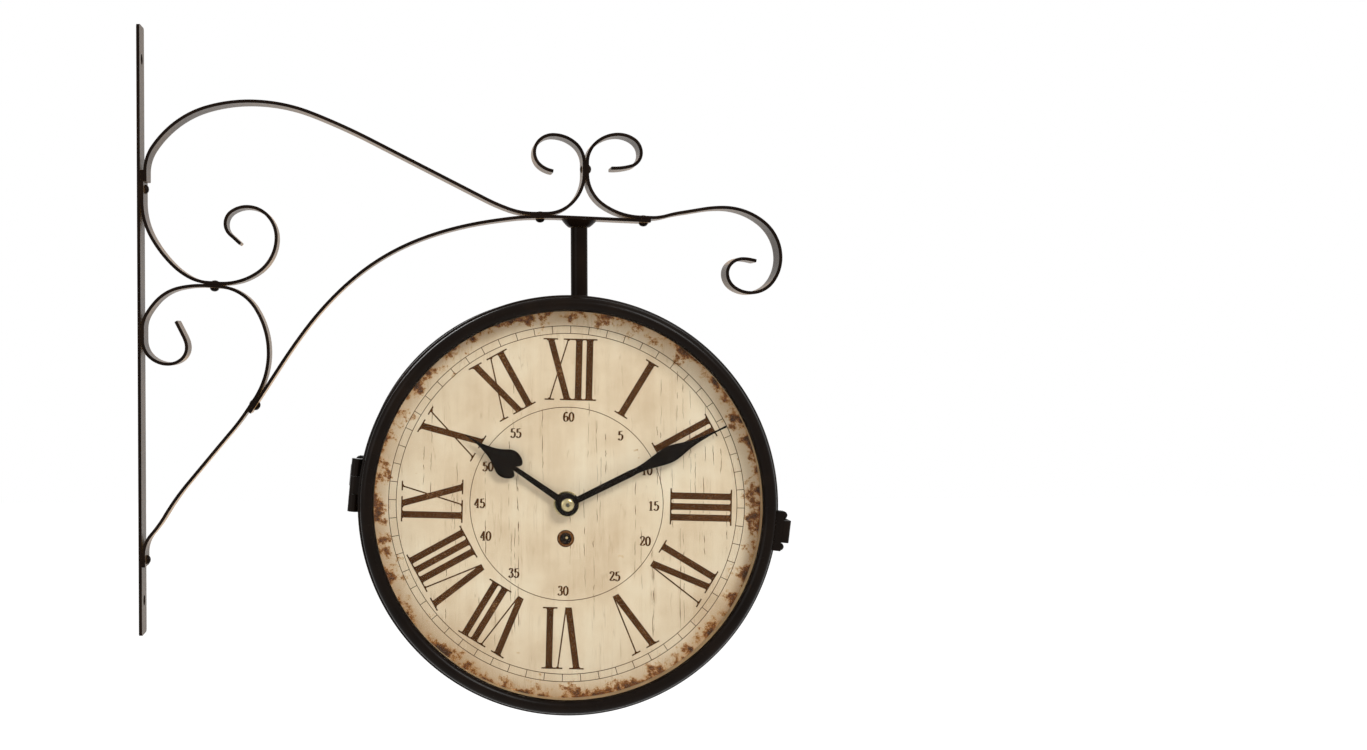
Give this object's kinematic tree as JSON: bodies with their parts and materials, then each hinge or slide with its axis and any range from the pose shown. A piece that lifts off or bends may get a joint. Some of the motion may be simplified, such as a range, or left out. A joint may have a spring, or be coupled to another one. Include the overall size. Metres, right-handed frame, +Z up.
{
  "type": "double sided wall bracket clock",
  "caption": "Drum clock with a hinged glazed dial door on each face, hung by a post from a riveted scroll bracket of flat strip for a wall.",
  "frame": {"origin": "on the wall face of the bar, at its mid width and mid height", "axes": "+X out from the wall along the arms, +Y from the front dial to the rear dial, +Z up"},
  "size_m": [0.4, 0.1, 0.4225],
  "materials": {
    "black_enamel": "satin",
    "glass": "clear",
    "dial_board": "matt printed",
    "movement_plastic": "matt",
    "knob_plastic": "matt",
    "ring_plastic": "matt",
    "cell_sleeve": "gloss",
    "hand_black": "black lacquer",
    "brass": "polished",
    "steel": "bright"
  },
  "bodies": {
    "bracket_and_drum": {"wall_bar": "black_enamel", "upper_arm": "black_enamel", "wall_scroll": "black_enamel", "lower_scroll": "black_enamel", "lower_arm": "black_enamel", "end_scroll": "black_enamel", "wall_rivets": "black_enamel", "scroll_rivets": "black_enamel", "post_top_collar": "black_enamel", "hanger_post": "black_enamel", "post_foot_collar": "black_enamel", "post_washer": "steel", "post_nut": "steel", "drum_shell": "black_enamel", "hinge_rivets": "black_enamel", "strike_screws": "black_enamel", "front_hinge_drum_leaf": "black_enamel", "front_hinge_pin": "steel", "front_strike": "black_enamel", "rear_hinge_drum_leaf": "black_enamel", "rear_hinge_pin": "steel", "rear_strike": "black_enamel"},
    "front_door": {"front_bezel": "black_enamel", "front_dial": "dial_board", "front_dial_clips": "steel", "front_glass": "glass", "front_dial_ring": "ring_plastic", "front_hinge_door_leaf": "black_enamel", "front_clasp_plate": "black_enamel", "front_clasp_screws": "black_enamel", "front_clasp_tongue": "black_enamel", "front_movement_case": "movement_plastic", "front_battery": "cell_sleeve", "front_dial_nut": "brass"},
    "front_minute": {"front_minute_shaft": "brass", "front_minute_hand": "hand_black", "front_cap_nut": "brass"},
    "front_hour": {"front_hour_tube": "brass", "front_hour_hand": "hand_black"},
    "front_knob": {"front_setting_knob": "knob_plastic"},
    "rear_door": {"rear_bezel": "black_enamel", "rear_dial": "dial_board", "rear_dial_clips": "steel", "rear_glass": "glass", "rear_dial_ring": "ring_plastic", "rear_hinge_door_leaf": "black_enamel", "rear_clasp_plate": "black_enamel", "rear_clasp_screws": "black_enamel", "rear_clasp_tongue": "black_enamel", "rear_movement_case": "movement_plastic", "rear_battery": "cell_sleeve", "rear_dial_nut": "brass"},
    "rear_minute": {"rear_minute_shaft": "brass", "rear_minute_hand": "hand_black", "rear_cap_nut": "brass"},
    "rear_hour": {"rear_hour_tube": "brass", "rear_hour_hand": "hand_black"},
    "rear_knob": {"rear_setting_knob": "knob_plastic"}
  },
  "joints": [
    {"name": "front_door_hinge", "type": "hinge", "parent": "bracket_and_drum", "child": "front_door", "pos_m": [0.13539, -0.03785, -0.0942], "axis": [-0.0958, 0, -0.9954], "range_deg": [0, 115]},
    {"name": "front_minute_turn", "type": "hinge", "parent": "front_door", "child": "front_minute", "pos_m": [0.2631, -0.0383, -0.1065], "axis": [0, 1, 0], "continuous": true},
    {"name": "front_hour_turn", "type": "hinge", "parent": "front_door", "child": "front_hour", "pos_m": [0.2631, -0.0383, -0.1065], "axis": [0, 1, 0], "continuous": true},
    {"name": "front_knob_turn", "type": "hinge", "parent": "front_door", "child": "front_knob", "pos_m": [0.2631, -0.0135, -0.0945], "axis": [0, 1, 0], "continuous": true},
    {"name": "rear_door_hinge", "type": "hinge", "parent": "bracket_and_drum", "child": "rear_door", "pos_m": [0.39042, 0.03785, -0.12236], "axis": [-0.1236, 0, -0.9923], "range_deg": [0, 115]},
    {"name": "rear_minute_turn", "type": "hinge", "parent": "rear_door", "child": "rear_minute", "pos_m": [0.2631, 0.0383, -0.1065], "axis": [0, -1, 0], "continuous": true},
    {"name": "rear_hour_turn", "type": "hinge", "parent": "rear_door", "child": "rear_hour", "pos_m": [0.2631, 0.0383, -0.1065], "axis": [0, -1, 0], "continuous": true},
    {"name": "rear_knob_turn", "type": "hinge", "parent": "rear_door", "child": "rear_knob", "pos_m": [0.2631, 0.0135, -0.0945], "axis": [0, -1, 0], "continuous": true}
  ],
  "couplings": [
    {"joint": "front_hour_turn", "follows": "front_minute_turn", "ratio": 0.083333},
    {"joint": "front_knob_turn", "follows": "front_minute_turn", "ratio": -1},
    {"joint": "rear_hour_turn", "follows": "rear_minute_turn", "ratio": 0.083333},
    {"joint": "rear_knob_turn", "follows": "rear_minute_turn", "ratio": -1}
  ]
}
